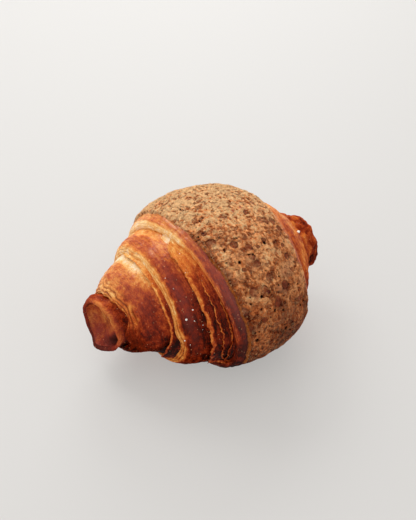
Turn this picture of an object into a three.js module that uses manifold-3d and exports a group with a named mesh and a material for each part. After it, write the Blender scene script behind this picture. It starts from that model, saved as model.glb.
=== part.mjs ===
// A croissant with a baked almond crust, made as one solid in millimetres, +Z up.
//
// The dough is one triangle rolled up, so the roll is a stack of turns: each turn is a barrel of dough
// that is shorter and fatter than the one below it, and its two edges stand out as steps on either side
// of the belly. The last turn carries the almond crust, the left tip is the open end of the roll, and the
// belly is flat where it lay on the baking tray.
//
// A place on the roll is given by x along it, by an angle round it (0 at the back, 90 on top, 180 at the
// front, 270 underneath) and by a depth below the smooth outline that touches the crest of every step.
import * as THREE from "three";
import { ParametricGeometry } from "three/addons/geometries/ParametricGeometry.js";
import { mergeVertices } from "three/addons/utils/BufferGeometryUtils.js";
import Module from "manifold-3d";

// ---- Driving dimensions -------------------------------------------------------------------------

const BELLY_HALF_WIDTH = 50.5;
const BELLY_FLATNESS = 0.805; // height over width at the belly; the tips are round
const BACK_SHARE = 0.95; // the roll reaches a little less to the back than to the front
const SHOULDER = { x: 43, run: 14, share: 0.07 }; // it is fullest at the front of its right shoulder
const AXIS_HEIGHT = 35.5;
const HALF_LENGTH = 67; // from the belly to where the tips' bend and droop are measured

// How the belly falls away to each tip: it would reach nothing at "reach", and the tip is a tube.
const LEFT = { reach: 73.4, power: 1.7, fall: 1.62, tipRadius: 12, tipBack: 11.5, tipDroop: 12 };
const RIGHT = { reach: 62.5, power: 3.1, fall: 1.5, tipRadius: 14.2, tipBack: -0.5, tipDroop: 3.4 };

// The turns of dough from the outermost to the tips. At each edge, crest is the x of its highest ring,
// lip is how far the edge stands out past it, rise is the height of the step, and lean is how far the
// ring swings along the roll from the back (minus) to the front (plus). tuck is how deep the turn lies
// where the next one covers it.
const TURNS = [
  {
    left: { crest: -13, lip: 2.4, rise: 2.6, lean: 4.4 },
    right: { crest: 38.5, lip: 3.4, rise: 4, lean: -1.8 },
    tuck: 0,
  },
  {
    left: { crest: -29, lip: 3.6, rise: 2.9, lean: 0.2 },
    right: { crest: 46, lip: 2.6, rise: 2.4, lean: 0.5 },
    tuck: 3.6,
  },
  {
    left: { crest: -43.8, lip: 6.6, rise: 2.5, lean: 0.8 },
    right: { crest: 51, lip: 1.6, rise: 1, lean: -0.5 },
    tuck: 3,
  },
];
const TUCK_RUN = 14; // how far from its crest a turn takes to sink to its tuck

// The almond crust on the last turn: it laps over the dough and stops short of the underside.
const CRUST = {
  left: { at: -9.8, lean: 4.2 },
  right: { at: 37, lean: -1.8 },
  edge: 1.6,
  proud: 1.6,
  sunk: 2.4,
  from: -30,
  to: 206,
};

// The innermost turn runs from the right tip to the open left tip. The mouth there is cut on the slant:
// its lower edge (dip) and its back edge (slant) stand out further than the rest. sunk is how deep it
// lies where the other turns cover it.
const TIP = {
  mouth: -57.8,
  slant: 0.7,
  dip: 1.8,
  floor: -49.5,
  wall: 2.4,
  sunk: 4.2,
  stations: [-50.5, -48, 0, 40, 47, 53],
  right: 66.7,
  roundRight: 8,
};

// ---- The roll's smooth outline ------------------------------------------------------------------

const sideOf = (x) => (x < 0 ? LEFT : RIGHT);
const share = (x) => Math.abs(x) / HALF_LENGTH;

// Half the roll's width at x: the belly's fall blended into the tube of the tip.
function halfWidth(x) {
  const side = sideOf(x);
  const left = Math.max(0, 1 - (Math.abs(x) / side.reach) ** side.power);
  const belly = BELLY_HALF_WIDTH * left ** side.fall;
  return Math.cbrt(belly ** 3 + side.tipRadius ** 3);
}

function halfHeight(x) {
  const roundness = THREE.MathUtils.smoothstep(share(x), 0.2, 1);
  return halfWidth(x) * THREE.MathUtils.lerp(BELLY_FLATNESS, 1, roundness);
}

// The middle of the roll at x: the tips bend to the back and droop.
function axisPoint(x, target) {
  const side = sideOf(x);
  return target.set(
    x,
    side.tipBack * share(x) ** 1.8,
    AXIS_HEIGHT - side.tipDroop * share(x) ** 1.6,
  );
}

function outlinePoint(x, angle, target) {
  axisPoint(x, target);
  const across = Math.cos(angle);
  const full = 1 + SHOULDER.share * Math.exp(-(((x - SHOULDER.x) / SHOULDER.run) ** 2));
  target.y += halfWidth(x) * across * (across > 0 ? BACK_SHARE : full);
  target.z += halfHeight(x) * Math.sin(angle);
  return target;
}

// The point at a depth under the outline, along the outline's own normal.
const STEP = 0.05;
function rollPoint(x, angle, depth, target) {
  const alongX = outlinePoint(x + STEP, angle, new THREE.Vector3());
  alongX.sub(outlinePoint(x - STEP, angle, new THREE.Vector3()));
  const round = outlinePoint(x, angle + STEP, new THREE.Vector3());
  round.sub(outlinePoint(x, angle - STEP, new THREE.Vector3()));
  const outward = round.cross(alongX).normalize();
  return outlinePoint(x, angle, target).addScaledVector(outward, -depth);
}

// ---- Surfaces from rows -------------------------------------------------------------------------

const ANGLES = 40;

// A closed surface through rows of stations. A station gives {x, depth} or, towards the axis,
// {x, depth, shrink}, where shrink 0 is on the axis and 1 on the outline.
function surfaceOf(rows) {
  const axis = new THREE.Vector3();
  const point = (u, v, target) => {
    const angle = (1 - v) * 2 * Math.PI;
    const { x, depth = 0, shrink = 1 } = rows[Math.round(u * (rows.length - 1))](angle);
    rollPoint(x, angle, depth, target);
    if (shrink < 1) target.lerp(axisPoint(x, axis), 1 - shrink);
  };
  return new ParametricGeometry(point, rows.length - 1, ANGLES);
}

const LIP_TURN = THREE.MathUtils.degToRad(115); // the edge curls past upright, so it overhangs
const LIP_ROWS = 4;
const BODY_ROWS = 8;

const swing = (lean, angle) => -lean * Math.cos(angle);

// Rows of one edge from its hidden foot on the axis to just before its crest. way is -1 at a turn's
// left edge and +1 at its right one.
function edgeRows(edge, way) {
  const crest = (angle) => edge.crest + swing(edge.lean, angle);
  const foot = (angle) => ({
    x: crest(angle) + way * edge.lip * Math.sin(LIP_TURN),
    depth: edge.rise * (1 - Math.cos(LIP_TURN)),
  });
  const rows = [0, 0.5].map((shrink) => () => ({ ...foot(Math.PI / 2), shrink }));
  for (let i = 0; i < LIP_ROWS; i++) {
    const turned = LIP_TURN * (1 - i / LIP_ROWS);
    rows.push((angle) => ({
      x: crest(angle) + way * edge.lip * Math.sin(turned),
      depth: edge.rise * (1 - Math.cos(turned)),
    }));
  }
  return rows;
}

// Rows between the two crests: the surface sinks to the tuck where the next turn lies on it.
function bodyRows(turn) {
  const rows = [];
  for (let i = 0; i <= BODY_ROWS; i++) {
    rows.push((angle) => {
      const from = turn.left.crest + swing(turn.left.lean, angle);
      const to = turn.right.crest + swing(turn.right.lean, angle);
      const x = THREE.MathUtils.lerp(from, to, i / BODY_ROWS);
      const sunk =
        THREE.MathUtils.smoothstep(x, from, from + TUCK_RUN) *
        THREE.MathUtils.smoothstep(-x, -to, TUCK_RUN - to);
      return { x, depth: turn.tuck * sunk };
    });
  }
  return rows;
}

function turnSurface(turn) {
  return surfaceOf([
    ...edgeRows(turn.left, -1),
    ...bodyRows(turn),
    ...edgeRows(turn.right, 1).reverse(),
  ]);
}

// The crust is proud of the outline on top and sinks under it at its ends and towards the underside.
function crustSurface() {
  const middle = (CRUST.from + CRUST.to) / 2;
  const halfSpan = (CRUST.to - CRUST.from) / 2;
  const at = (end, inset, sink) => (angle) => {
    const turned = THREE.MathUtils.euclideanModulo(
      THREE.MathUtils.radToDeg(angle) - middle + 180,
      360,
    );
    const under = THREE.MathUtils.smoothstep(Math.abs(turned - 180), halfSpan - 8, halfSpan + 8);
    return {
      x: CRUST[end].at + swing(CRUST[end].lean, angle) + (end === "left" ? inset : -inset),
      depth: THREE.MathUtils.lerp(sink, CRUST.sunk, under),
    };
  };
  const rows = [() => ({ x: CRUST.left.at, depth: 0, shrink: 0 })];
  rows.push(at("left", CRUST.edge, CRUST.sunk), at("left", 0, CRUST.sunk / 3));
  rows.push(at("left", CRUST.edge / 2, -CRUST.proud / 2));
  const inside = 8;
  for (let i = 0; i <= inside; i++) {
    const start = at("left", CRUST.edge, -CRUST.proud);
    const stop = at("right", CRUST.edge, -CRUST.proud);
    rows.push((angle) => ({
      x: THREE.MathUtils.lerp(start(angle).x, stop(angle).x, i / inside),
      depth: start(angle).depth,
    }));
  }
  rows.push(at("right", CRUST.edge / 2, -CRUST.proud / 2));
  rows.push(at("right", 0, CRUST.sunk / 3), at("right", CRUST.edge, CRUST.sunk));
  rows.push(() => ({ x: CRUST.right.at, depth: 0, shrink: 0 }));
  return surfaceOf(rows);
}

// The innermost turn: from the floor of the open left tip, out over its slanting mouth, along the
// roll and round the closed right tip.
function tipSurface() {
  const mouth = (angle) => TIP.mouth - TIP.slant * Math.cos(angle) + TIP.dip * Math.sin(angle);
  const thinned = (angle) => 1 - TIP.wall / halfWidth(mouth(angle));
  const rows = [
    () => ({ x: TIP.floor, shrink: 0 }),
    () => ({ x: TIP.floor - 0.5, shrink: 0.4 }),
    (angle) => ({ x: THREE.MathUtils.lerp(TIP.floor, mouth(angle), 0.35), shrink: 0.66 }),
    (angle) => ({ x: THREE.MathUtils.lerp(TIP.floor, mouth(angle), 0.9), shrink: thinned(angle) }),
    (angle) => ({ x: mouth(angle), depth: TIP.wall * 0.5 }),
    (angle) => ({ x: mouth(angle) + TIP.wall * 0.5, depth: TIP.wall * 0.12 }),
  ];
  const sunk = (x) =>
    TIP.sunk *
    THREE.MathUtils.smoothstep(x, -56, -49.5) *
    THREE.MathUtils.smoothstep(-x, -52, -40);
  rows.push((angle) => ({ x: mouth(angle) + TIP.wall, depth: 0 }));
  for (const x of [...TIP.stations, TIP.right - TIP.roundRight]) {
    rows.push(() => ({ x, depth: sunk(x) }));
  }
  for (const turned of [30, 60]) {
    const angleIn = THREE.MathUtils.degToRad(turned);
    const x = TIP.right - TIP.roundRight * (1 - Math.sin(angleIn));
    rows.push(() => ({ x, shrink: Math.cos(angleIn) }));
  }
  rows.push(() => ({ x: TIP.right, shrink: 0 }));
  return surfaceOf(rows);
}

// ---- Joining ------------------------------------------------------------------------------------

const wasm = await Module();
wasm.setup();

function solidOf(geometry) {
  const bare = geometry.clone();
  bare.deleteAttribute("normal");
  bare.deleteAttribute("uv");
  const merged = mergeVertices(bare, 1e-3);
  const corners = merged.index.array;
  const kept = [];
  for (let i = 0; i < corners.length; i += 3) {
    const [a, b, c] = corners.subarray(i, i + 3);
    if (a !== b && b !== c && c !== a) kept.push(a, b, c);
  }
  const made = new wasm.Manifold(
    new wasm.Mesh({
      numProp: 3,
      vertProperties: merged.attributes.position.array,
      triVerts: new Uint32Array(kept),
    }),
  );
  return made;
}

function geometryOf(solid) {
  const mesh = solid.getMesh();
  const geometry = new THREE.BufferGeometry();
  geometry.setAttribute("position", new THREE.BufferAttribute(mesh.vertProperties, 3));
  geometry.setIndex(new THREE.BufferAttribute(mesh.triVerts, 1));
  return geometry;
}

// Everything that sagged below the tray's face, to be cut off flat.
function traySlab() {
  const thickness = 40;
  const slab = new THREE.BoxGeometry(400, 400, thickness);
  return slab.translate(0, 0, -thickness / 2);
}

function croissantGeometry() {
  const shells = [...TURNS.map(turnSurface), crustSurface(), tipSurface()];
  const whole = shells.map(solidOf).reduce((sum, next) => sum.add(next));
  const geometry = geometryOf(whole.subtract(solidOf(traySlab())));
  geometry.computeBoundingBox();
  const middle = geometry.boundingBox.getCenter(new THREE.Vector3());
  return geometry.translate(-middle.x, -middle.y, 0);
}

const bakedDough = new THREE.MeshStandardMaterial({
  name: "baked_dough",
  color: new THREE.Color(0.62, 0.33, 0.14),
  roughness: 0.55,
  metalness: 0,
});

const geometry = croissantGeometry();
geometry.computeVertexNormals();
const croissant = new THREE.Mesh(geometry, bakedDough);
croissant.name = "croissant";

const part = new THREE.Group();
part.add(croissant);
export default part;
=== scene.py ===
"""A croissant with an almond crust, modelled as the baker makes it: one triangle of laminated dough rolled
into a stack of turns, the last turn brushed with almond paste that dries into a bubbled crust.

A place on the roll is x along it, an angle round it (0 at the back, 90 on top, 180 at the front, 270
underneath) and a depth below the smooth outline that touches the crest of every step. Shapes are worked
out in millimetres and become metres when a mesh is made.
"""

import bmesh
import bpy
import numpy as np
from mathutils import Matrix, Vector


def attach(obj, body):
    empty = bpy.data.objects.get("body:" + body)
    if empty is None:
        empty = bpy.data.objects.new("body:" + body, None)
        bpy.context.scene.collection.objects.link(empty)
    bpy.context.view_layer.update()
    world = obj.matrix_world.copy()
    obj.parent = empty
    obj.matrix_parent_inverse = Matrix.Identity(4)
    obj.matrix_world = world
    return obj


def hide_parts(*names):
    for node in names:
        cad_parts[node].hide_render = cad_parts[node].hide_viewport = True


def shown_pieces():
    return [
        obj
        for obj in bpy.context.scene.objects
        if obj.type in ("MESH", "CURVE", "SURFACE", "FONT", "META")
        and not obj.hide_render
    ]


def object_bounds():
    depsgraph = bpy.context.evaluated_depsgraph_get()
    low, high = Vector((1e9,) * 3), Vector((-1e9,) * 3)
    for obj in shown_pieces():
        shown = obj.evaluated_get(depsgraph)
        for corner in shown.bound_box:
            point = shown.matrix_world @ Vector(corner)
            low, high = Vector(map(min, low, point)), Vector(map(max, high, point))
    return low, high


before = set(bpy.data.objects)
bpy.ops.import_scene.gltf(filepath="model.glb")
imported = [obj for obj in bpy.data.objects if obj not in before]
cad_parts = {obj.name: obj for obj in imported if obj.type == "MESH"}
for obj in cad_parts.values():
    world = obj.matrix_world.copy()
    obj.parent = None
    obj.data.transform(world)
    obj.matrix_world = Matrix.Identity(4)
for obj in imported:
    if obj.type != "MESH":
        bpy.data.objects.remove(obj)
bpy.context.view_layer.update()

MM = 0.001

# ---- Driving dimensions, in millimetres ---------------------------------------------------------

BELLY_HALF_WIDTH = 50.5
BELLY_FLATNESS = 0.805
ROUND_FROM, ROUND_TO = 0.2, 1.0  # the section turns from flattened to round over these shares of the length
BACK_SHARE = 0.95  # the roll reaches a little less to the back than to the front
SHOULDER = dict(x=43.0, run=14.0, share=0.07)  # it is fullest at the front of its right shoulder
AXIS_HEIGHT = 35.5
HALF_LENGTH = 67.0
BACK_POWER, DROOP_POWER = 1.8, 1.6  # how late along the roll the tips swing back and droop
LEFT = dict(reach=73.4, power=1.7, fall=1.62, tip_radius=12.0, back=11.5, droop=12.0)
RIGHT = dict(reach=62.5, power=3.1, fall=1.5, tip_radius=14.2, back=-0.5, droop=3.4)

# Each turn's two edges: where the crest is, how far the lip stands out past it, how high the step is and
# how far the ring leans along the roll from back to front. back_more is how much further the lip stands
# out at the back. tuck is the depth where the next turn covers the skin, floor is the height of the
# flattened underside, pitch is the thickness of a cut layer, and seen is how much of the skin next to the
# two crests is in view and gets close rows.
#
# Four values in a row are those at the four STATIONS round the roll. bake is how brown the dough is, from
# 0, cream, to 1, nearly black: on the cut face, on the crest, and on the bed where the next turn starts. It
# is paler towards the back and top and browner to the front and underneath, which is partly baked colour
# and partly painted light and shade.
# It turns from the crest's brown to the bed's over the stretch golden behind the crest. gloss is the shine
# of the egg wash and layers how plainly the cut layers show. The plum tone along the crest is a painted
# sheen, a painted reflection on the egg wash; the sheen values set its strength and the plum value its
# width.
STATIONS = (35.0, 85.0, 140.0, 200.0)
OUTER = dict(
    left=dict(crest=-13.0, lip=2.0, back_more=0.7, rise=2.6, lean=4.4),
    right=dict(crest=38.5, lip=3.4, rise=4.0, lean=-1.8),
    tuck=0.0,
    floor=0.0,
    pitch=1.2,
    seen=(8.0, 6.0),
    bake=dict(
        face=(0.05, 0.18, 0.56, 0.90), crest=(0.36, 0.42, 0.91, 1.0), bed=(0.46, 0.50, 0.80, 0.98)
    ),
    golden=(3.0, 9.0),
    gloss=(0.95, 0.95, 0.75, 0.1),
    layers=(0.25, 0.25, 0.7, 1.0),
    painted_sheen=(0.2, 0.5, 0.8, 0.0),
    painted_plum=3.0,
    seed=101,
)
MIDDLE = dict(
    left=dict(crest=-29.0, lip=3.6, back_more=0.0, rise=2.9, lean=0.2),
    right=dict(crest=46.0, lip=2.6, rise=2.4, lean=0.5),
    tuck=3.6,
    floor=0.25,
    pitch=1.2,
    seen=(17.0, 12.0),
    bake=dict(
        face=(0.18, 0.22, 0.27, 0.42), crest=(0.42, 0.54, 0.90, 0.86), bed=(0.30, 0.38, 0.88, 0.94)
    ),
    golden=(4.0, 8.5),
    gloss=(0.6, 0.6, 0.17, 0.0),
    layers=(0.5, 0.5, 0.8, 1.0),
    painted_sheen=(0.2, 0.5, 0.8, 0.0),
    painted_plum=2.4,
    seed=202,
)
INNER = dict(
    left=dict(crest=-43.8, lip=6.6, back_more=0.0, rise=2.5, lean=0.8),
    right=dict(crest=51.0, lip=1.6, rise=1.0, lean=-0.5),
    tuck=3.0,
    floor=0.5,
    pitch=1.7,
    seen=(15.0, 8.0),
    bake=dict(
        face=(0.32, 0.37, 0.58, 0.94), crest=(0.38, 0.44, 0.81, 0.86), bed=(0.06, 0.11, 0.69, 0.96)
    ),
    golden=(5.5, 9.5),
    gloss=(0.8, 0.8, 0.17, 0.0),
    layers=(1.0, 1.0, 1.0, 1.0),
    painted_sheen=(0.2, 0.5, 0.45, 0.0),
    painted_plum=5.0,
    seed=303,
)
CURL = np.radians(125.0)  # a lip curls past upright, so it overhangs the turn below
TUCK_RUN = 14.0
# The deep pocket low at the front where the middle turn's lip stands clear of the inner turn.
POCKET = dict(x=-34.8, angle=197.0, deep=4.0, wide=2.6, tall=15.0)
# Low at the front the inner turn is trimmed back, so that it stands clear of the tray.
TRIM = dict(angle=232.0, deep=2.6, tall=34.0, fade=(-48.0, -41.0))
# Painted shade on the middle turn's bed under the torn skins: where it starts, where it ends, and by how
# much it darkens the bed.
SHADED_BED = dict(start=(-19.8, -17.6), end=(10.0, 20.0), brown=0.32, by_angle=(0.0, 0.0, 0.8, 1.0))

# The crust's two edges and how far each lies further out at the back and further in at the front, how far
# the crust stands proud, how deep it sinks at its ends and underneath, the angles it runs between, and the
# radius and turn of its rolled edges.
CRUST = dict(
    left=-9.8,
    left_lean=4.2,
    right=37.0,
    right_lean=1.8,
    proud=0.9,
    sunk=2.4,
    start=-30.0,
    stop=206.0,
    edge=1.1,
    edge_turn=np.pi * 0.62,
)

# The open left tip: its mouth's place, how far it slants, how far its low corner at the angle corner_at
# reaches out, the depth of its bowl and the thickness of its rim. Then the depth where the turns cover
# the roll, and the end of the closed right tip with the radius of its rounding.
TIP = dict(
    mouth=-55.2, slant=1.8, corner=4.2, corner_at=252.0, bowl=4.6, wall=2.4, sunk=3.5, right=65.5, round=8.0
)

# A torn skin comes out from its hidden edge under one turn and lies on the bed of the turn named under,
# from the angle start to the angle stop. edge is where its torn edge lies, lean how far that leans from
# back to front, low how far it moves along the roll low at the front, lift how far it flares up, ragged how
# uneven it is, and pale the width of the pale strip along it.
TORN_SKINS = dict(
    torn_skin_low=dict(
        under=MIDDLE, hidden=-10.0, edge=-20.4, lean=0.2, low=0.0, start=76.0, stop=214.0,
        lift=1.5, ragged=0.9, pale=1.3, seed=401,
    ),
    torn_skin_middle=dict(
        under=MIDDLE, hidden=-10.0, edge=-17.2, lean=1.4, low=0.0, start=104.0, stop=208.0,
        lift=1.3, ragged=0.9, pale=0.35, seed=411,
    ),
    torn_skin_top=dict(
        under=MIDDLE, hidden=-10.0, edge=-15.0, lean=3.0, low=-1.8, start=112.0, stop=216.0,
        lift=1.3, ragged=0.9, pale=0.6, seed=421,
    ),
    lip_layer=dict(
        under=INNER, hidden=-29.0, edge=-33.6, lean=-0.6, low=-3.0, start=28.0, stop=222.0,
        lift=0.5, ragged=0.35, pale=0.7, seed=431,
    ),
)
# Every torn skin's thickness, the gap it keeps over the bed, and the columns and rows of its two sides.
SKIN = dict(thick=0.55, clear=0.25, columns=320, rows=26)

# The larger sugar grains: where along the roll, the angle in degrees, and the half size.
SUGAR = [(51.0, 118.0, 0.9), (-27.0, 149.0, 0.6), (-23.5, 142.0, 0.35), (-29.5, 170.0, 0.4)]


# ---- Number helpers -----------------------------------------------------------------------------


def ease(value, start, stop):
    """0 before start and 1 after stop, with a smooth rise between."""
    t = np.clip((value - start) / (stop - start), 0.0, 1.0)
    return t * t * (3.0 - 2.0 * t)


def hill(value, middle, width):
    """A bell curve of height 1."""
    return np.exp(-(((value - middle) / width) ** 2))


def mix(a, b, share):
    """a where share is 0, b where it is 1, and a straight blend between."""
    return a + (b - a) * share


def unit(v):
    """Each vector drawn to length 1."""
    return v / np.maximum(np.linalg.norm(v, axis=-1, keepdims=True), 1e-9)


class Dough:
    """Smooth random rise and fall of dough: random slopes on a cubic lattice, eased from corner to corner,
    so that it runs from about -1 to 1 with one hill or hollow per unit of length."""

    LATTICE = 256
    SWING = 1.6  # brings the sum to about -1 to 1

    def __init__(self, seed):
        rng = np.random.default_rng(seed)
        self.order = rng.permutation(self.LATTICE)
        slopes = rng.normal(size=(self.LATTICE, 3))
        self.slopes = slopes / np.linalg.norm(slopes, axis=1, keepdims=True)

    def at(self, x, y, z):
        """The sum over a cell's eight corners of the corner's slope times the way from it, weighted by a
        curve that is 1 at the corner and falls smoothly to 0 at the others."""
        x, y, z = np.broadcast_arrays(x, y, z)
        cell = [np.floor(v).astype(np.int64) for v in (x, y, z)]
        part = [v - c for v, c in zip((x, y, z), cell)]
        eased = [f**3 * (f * (f * 6.0 - 15.0) + 10.0) for f in part]
        total = np.zeros(x.shape)
        for corner in range(8):
            step = [(corner >> k) & 1 for k in range(3)]
            place = self.order[(cell[0] + step[0]) % self.LATTICE]
            place = self.order[(place + cell[1] + step[1]) % self.LATTICE]
            place = self.order[(place + cell[2] + step[2]) % self.LATTICE]
            slope = self.slopes[place]
            value = sum(slope[..., k] * (part[k] - step[k]) for k in range(3))
            for k in range(3):
                value = value * (eased[k] if step[k] else 1.0 - eased[k])
            total = total + value
        return total * self.SWING


def rough(seed, x, y, z, size, octaves=3, falloff=0.5):
    """Several sizes of Dough added up, each half the size of the last and falloff times as strong."""
    total, strength = 0.0, 1.0
    for k in range(octaves):
        total = total + strength * Dough(seed + k).at(x / size, y / size, z / size)
        size, strength = size / 2.0, strength * falloff
    return total


def swell(seed, p, size, octaves=2):
    """The rough rise and fall at the points of a grid."""
    return rough(seed, p[..., 0], p[..., 1], p[..., 2], size, octaves)


# ---- The roll's smooth outline ------------------------------------------------------------------


def by_side(x, name):
    """The left side's value where x is below 0, the right side's elsewhere."""
    return np.where(x < 0, LEFT[name], RIGHT[name])


def half_width(x):
    """The belly falls to each side as (1 - (x/reach)^power)^fall, and blends by cubes into the tip's
    tube."""
    left_over = np.maximum(0.0, 1.0 - (np.abs(x) / by_side(x, "reach")) ** by_side(x, "power"))
    belly = BELLY_HALF_WIDTH * left_over ** by_side(x, "fall")
    return np.cbrt(belly**3 + by_side(x, "tip_radius") ** 3)


def half_height(x):
    """The half width times the belly's flatness, which eases to 1, a round section, at the tips."""
    return half_width(x) * mix(BELLY_FLATNESS, 1.0, ease(np.abs(x) / HALF_LENGTH, ROUND_FROM, ROUND_TO))


def axis_point(x):
    """The middle of the roll: the tips bend to the back and droop by powers of their distance."""
    share = np.abs(x) / HALF_LENGTH
    y = by_side(x, "back") * share**BACK_POWER
    return np.stack([x, y, AXIS_HEIGHT - by_side(x, "droop") * share**DROOP_POWER], -1)


def outline(x, angle):
    """An ellipse round the middle of the roll, upright and across it."""
    x, angle = np.broadcast_arrays(x, angle)
    p = axis_point(x)
    front_share = 1.0 + SHOULDER["share"] * hill(x, SHOULDER["x"], SHOULDER["run"])
    p[..., 1] += half_width(x) * np.cos(angle) * np.where(np.cos(angle) > 0, BACK_SHARE, front_share)
    p[..., 2] += half_height(x) * np.sin(angle)
    return p


def roll_point(x, angle, depth=0.0, shrink=1.0):
    """The outline's point moved in along the outline's normal by depth, then drawn to the axis by
    shrink. The normal is the cross product of two short steps on the outline."""
    x, angle, depth, shrink = np.broadcast_arrays(x, angle, depth, shrink)
    step = 0.05
    along = outline(x + step, angle) - outline(x - step, angle)
    around = outline(x, angle + step) - outline(x, angle - step)
    p = outline(x, angle) - unit(np.cross(around, along)) * depth[..., None]
    middle = axis_point(x)
    return middle + (p - middle) * shrink[..., None]


# ---- Grids --------------------------------------------------------------------------------------

TOP_COLUMNS, UNDER_COLUMNS = 560, 64
TOP_FROM, TOP_TO = -32.0, 212.0
TOP_DEGREES = np.linspace(TOP_FROM, TOP_TO, TOP_COLUMNS, endpoint=False)
UNDER_DEGREES = np.linspace(TOP_TO, TOP_FROM + 360.0, UNDER_COLUMNS, endpoint=False)
ANGLE = np.radians(np.concatenate([TOP_DEGREES, UNDER_DEGREES]))[None, :]
DEGREES = np.degrees(ANGLE)
COS, SIN = np.cos(ANGLE), np.sin(ANGLE)
TRAY_TURN = 0.8  # how softly the side turns into the flat underside
CLEAR_OF_TRAY = 20.0  # so many of those above the tray, a point is not touched
GRAIN_CIRCLE = 42.0  # the belly's size, for grain that runs round the roll
WRINKLE_CIRCLE = 40.0  # the same for the mesh's wrinkles


class Rings:
    """Rings gathered one after another, each of them a few numbers spread over all its angles."""

    def __init__(self):
        self.rows = []

    def add(self, *numbers):
        """One more ring."""
        self.rows.append([np.broadcast_to(number, ANGLE.shape)[0] for number in numbers])

    def grids(self):
        """One grid for each of the numbers, with a row per ring."""
        return [np.stack(rows) for rows in zip(*self.rows)]


def round_from(degrees):
    """How far round the roll each column is from an angle, from -180 to 180 degrees."""
    return (DEGREES - degrees + 180.0) % 360.0 - 180.0


def grid_normals(p):
    """Outward normals of a closed ring grid: the cross product of its two directions."""
    along = np.gradient(p, axis=0)
    around = np.roll(p, -1, axis=1) - np.roll(p, 1, axis=1)
    return unit(np.cross(around, along))


def raised(p, height):
    """The grid moved along its own normals by height."""
    return p + grid_normals(p) * height[..., None]


def rested(p, floor):
    """What would sink below the tray is pressed flat at the height floor, with a soft turn into the side:
    the height over the floor, counted in TRAY_TURN, becomes the logarithm of 1 plus its exponential."""
    p = p.copy()
    over = (p[..., 2] - floor) / TRAY_TURN
    pressed = np.log1p(np.exp(np.minimum(over, CLEAR_OF_TRAY)))
    p[..., 2] = floor + TRAY_TURN * np.where(over > CLEAR_OF_TRAY, over, pressed)
    return p


def follow_rings(mesh, x, angle):
    """Coordinates that follow the roll, for grain that runs round it: x, and a circle of the belly's
    size."""
    across = np.stack([x, GRAIN_CIRCLE * np.cos(angle), GRAIN_CIRCLE * np.sin(angle)], -1) * MM
    layer = mesh.attributes.new("roll", "FLOAT_VECTOR", "POINT")
    layer.data.foreach_set("vector", across.astype(np.float32).ravel())


def put_mark(mesh, mark, values):
    """A number per point of the mesh, for its material to read."""
    layer = mesh.attributes.new(mark, "FLOAT", "POINT")
    layer.data.foreach_set("value", values.astype(np.float32).ravel())


def ring_mesh(name, p, x, marks, material):
    """A closed skin from a grid of rings: each row joins the next, the last column joins the first, and the
    first and last rows close on one point each. marks are numbers per grid point for the material."""
    rows, columns = p.shape[:2]
    points = np.concatenate([p[0].mean(0)[None], p[1:-1].reshape(-1, 3), p[-1].mean(0)[None]]) * MM
    near = np.arange(columns)
    far = (near + 1) % columns
    start = 1 + np.arange(rows - 3)[:, None] * columns
    quads = np.stack([start + near, start + far, start + columns + far, start + columns + near], -1)
    bottom = np.stack([np.zeros_like(near), 1 + far, 1 + near], -1)
    top_row = 1 + (rows - 3) * columns
    top = np.stack([np.full_like(near, len(points) - 1), top_row + near, top_row + far], -1)
    mesh = bpy.data.meshes.new(name)
    faces = [*quads.reshape(-1, 4).tolist(), *bottom.tolist(), *top.tolist()]
    mesh.from_pydata(points.tolist(), [], faces)

    def per_point(values):
        """A grid's values, with one mean value for each end row."""
        return np.concatenate([[values[0].mean()], values[1:-1].ravel(), [values[-1].mean()]])

    for mark, values in marks.items():
        put_mark(mesh, mark, per_point(np.broadcast_to(values, (rows, columns))))
    around = np.broadcast_to(ANGLE, (rows - 2, columns)).ravel()
    follow_rings(mesh, per_point(x), np.concatenate([[0.0], around, [0.0]]))
    lay_out(mesh, rows, columns)
    finished(name, mesh, material)


def lay_out(mesh, rows, columns):
    """A flat layout of the ring grid: columns across, rows up, seam at the first column. Each end is a row
    of triangles with their tips on the layout's lower or upper edge."""
    wide, tall = 1.0 / columns, 1.0 / (rows - 1)
    across = np.arange(columns) / columns
    up = (1 + np.arange(rows - 3))[:, None] / (rows - 1)
    shape = (rows - 3, columns, 4)
    u = np.broadcast_to(np.stack([across, across + wide, across + wide, across], -1), shape)
    v = np.broadcast_to(np.stack([up, up, up + tall, up + tall], -1), shape)
    quads = np.stack([u, v], -1).reshape(-1, 2)

    def end_row(tip, base, first, second):
        """Triangles from the height tip to two corners at the height base."""
        corners = [(across + wide / 2, tip), (first, base), (second, base)]
        places = [np.stack([u, np.full(columns, v)], -1) for u, v in corners]
        return np.stack(places, 1).reshape(-1, 2)

    bottom = end_row(0.0, tall, across + wide, across)
    top = end_row(1.0, 1.0 - tall, across, across + wide)
    layer = mesh.uv_layers.new(name="OFBake")
    layer.data.foreach_set("uv", np.concatenate([quads, bottom, top]).ravel().astype(np.float32))


def finished(name, mesh, material):
    """The mesh as a smooth-shaded piece that rides with the croissant and stands for its plain solid."""
    mesh.update()
    mesh.polygons.foreach_set("use_smooth", np.ones(len(mesh.polygons), dtype=bool))
    piece = bpy.data.objects.new(name, mesh)
    bpy.context.scene.collection.objects.link(piece)
    piece.data.materials.append(material)
    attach(piece, "root")
    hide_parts("croissant")


# ---- The turns of dough -------------------------------------------------------------------------

FAR = 99.0  # a distance down a face that is nowhere near it
FACE_ROWS = 30
SKIN_ROW_STEP = 0.36
POLE_SHARE = 0.55  # the ring between a pole and a lip is drawn this far out from the axis
# How uneven the hand-rolled edges are: in millimetres for the crests, as shares for the lips and rises.
UNEVEN = dict(left_crest=0.9, right_crest=0.8, left_lip=0.22, left_rise=0.18, right_lip=0.2, right_rise=0.2)
# Heights of the skin's surface detail, and of what is left of it on the cut faces.
SKIN_HEIGHT = dict(blister=0.16, fine=0.24, broad=0.45, fine_on_face=0.12)
GROOVE_DEPTH = 0.6


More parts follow.
